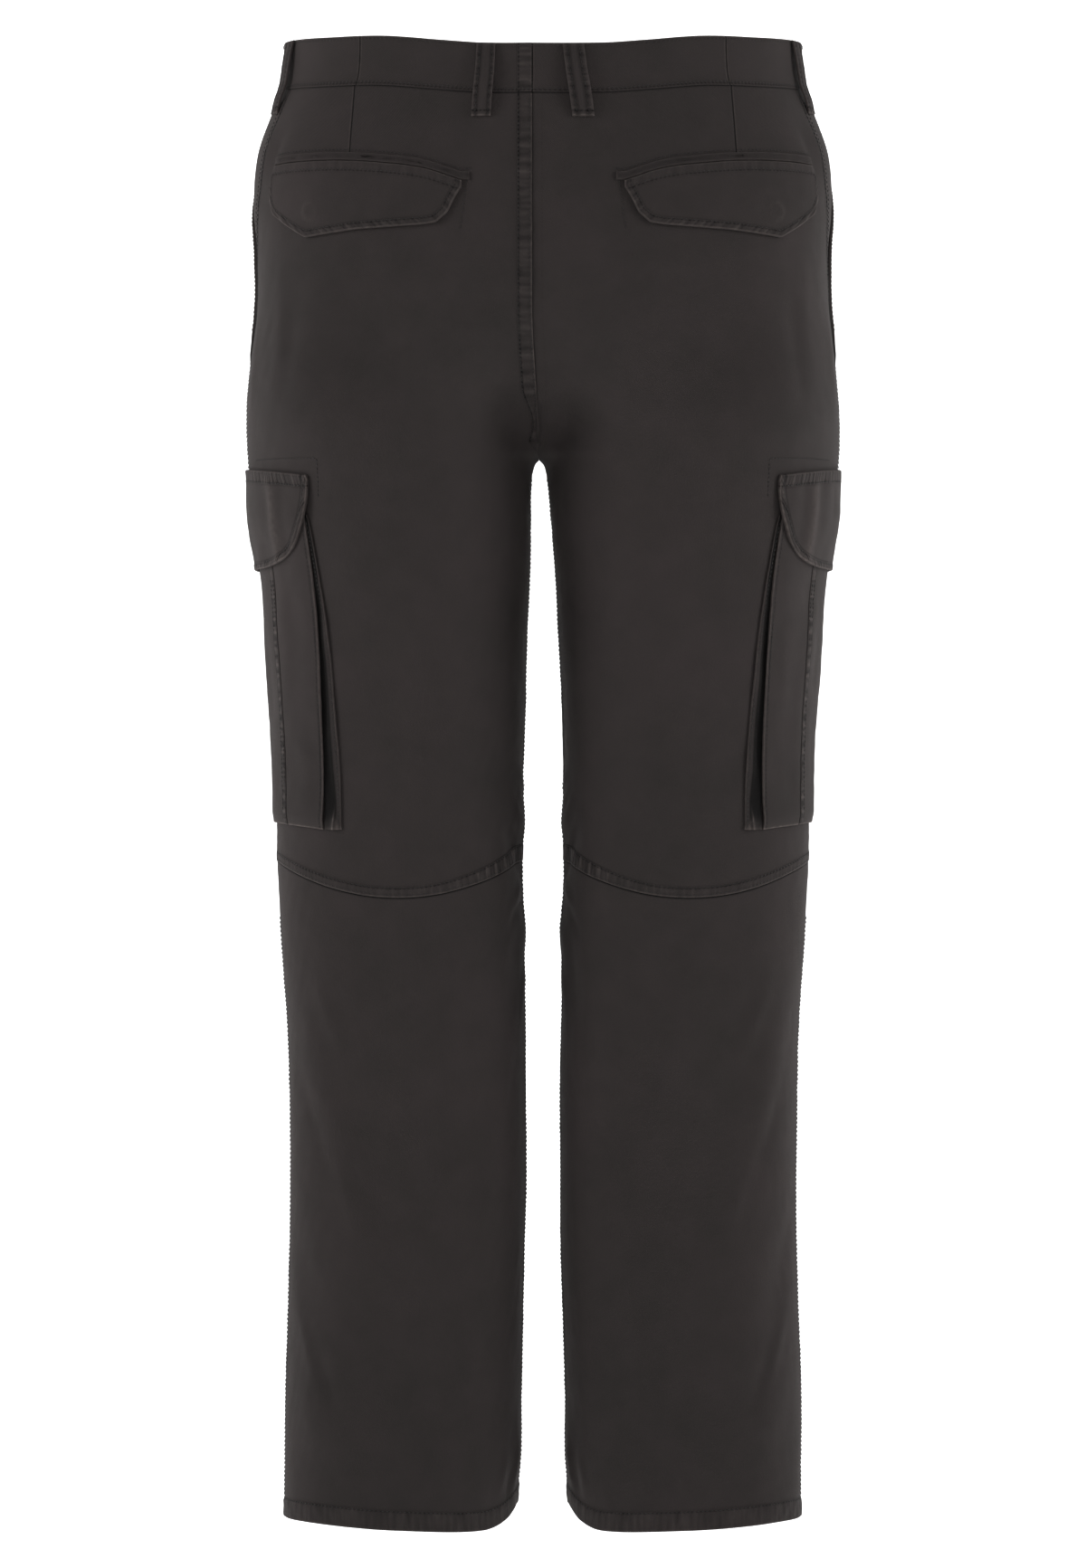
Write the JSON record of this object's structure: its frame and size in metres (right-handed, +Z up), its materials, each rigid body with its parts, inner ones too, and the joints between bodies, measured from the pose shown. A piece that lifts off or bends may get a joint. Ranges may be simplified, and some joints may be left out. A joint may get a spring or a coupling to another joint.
{
  "type": "cargo trousers",
  "caption": "Straight-leg cotton cargo trousers, filled out as worn, with flapped back pockets, bellows cargo pockets on the thighs, belt loops and shaped knees.",
  "frame": {"origin": "centre of the waist ring, at half the height of the waistband, where the wearer's waist holds the trousers", "axes": "+Z up towards the wearer's head, -Y towards the wearer's back, +X towards the wearer's right"},
  "size_m": [0.4528, 0.2996, 1.1259],
  "materials": {
    "canvas": "washed cotton canvas, matt, dark charcoal",
    "canvas_trim": "the same canvas, its folded edges worn lighter",
    "button": "satin, dark"
  },
  "bodies": {
    "root": {"back_upper_left": "canvas", "back_upper_right": "canvas", "back_lower_left": "canvas", "back_lower_right": "canvas", "front_left": "canvas", "front_right": "canvas", "hip_pocket_facing_left": "canvas", "hip_pocket_facing_right": "canvas", "waistband_back_left": "canvas_trim", "waistband_back_right": "canvas_trim", "waistband_side_left": "canvas_trim", "waistband_side_right": "canvas_trim", "waistband_front_left": "canvas_trim", "waistband_front_right": "canvas_trim", "back_pocket_flap_left": "canvas_trim", "back_pocket_flap_right": "canvas_trim", "back_pocket_welt_left": "canvas_trim", "back_pocket_welt_right": "canvas_trim", "cargo_pocket_back_left": "canvas_trim", "cargo_pocket_back_right": "canvas_trim", "cargo_pocket_centre_left": "canvas_trim", "cargo_pocket_centre_right": "canvas_trim", "cargo_pocket_front_left": "canvas_trim", "cargo_pocket_front_right": "canvas_trim", "cargo_bellows_back_left": "canvas_trim", "cargo_bellows_back_right": "canvas_trim", "cargo_bellows_front_left": "canvas_trim", "cargo_bellows_front_right": "canvas_trim", "cargo_flap_left": "canvas_trim", "cargo_flap_right": "canvas_trim", "belt_loop_back_left": "canvas_trim", "belt_loop_back_right": "canvas_trim", "belt_loop_side_left": "canvas_trim", "belt_loop_side_right": "canvas_trim", "belt_loop_front_left": "canvas_trim", "belt_loop_front_right": "canvas_trim", "fly": "canvas_trim", "waistband_tab": "canvas_trim", "waist_button": "button"}
  },
  "joints": []
}
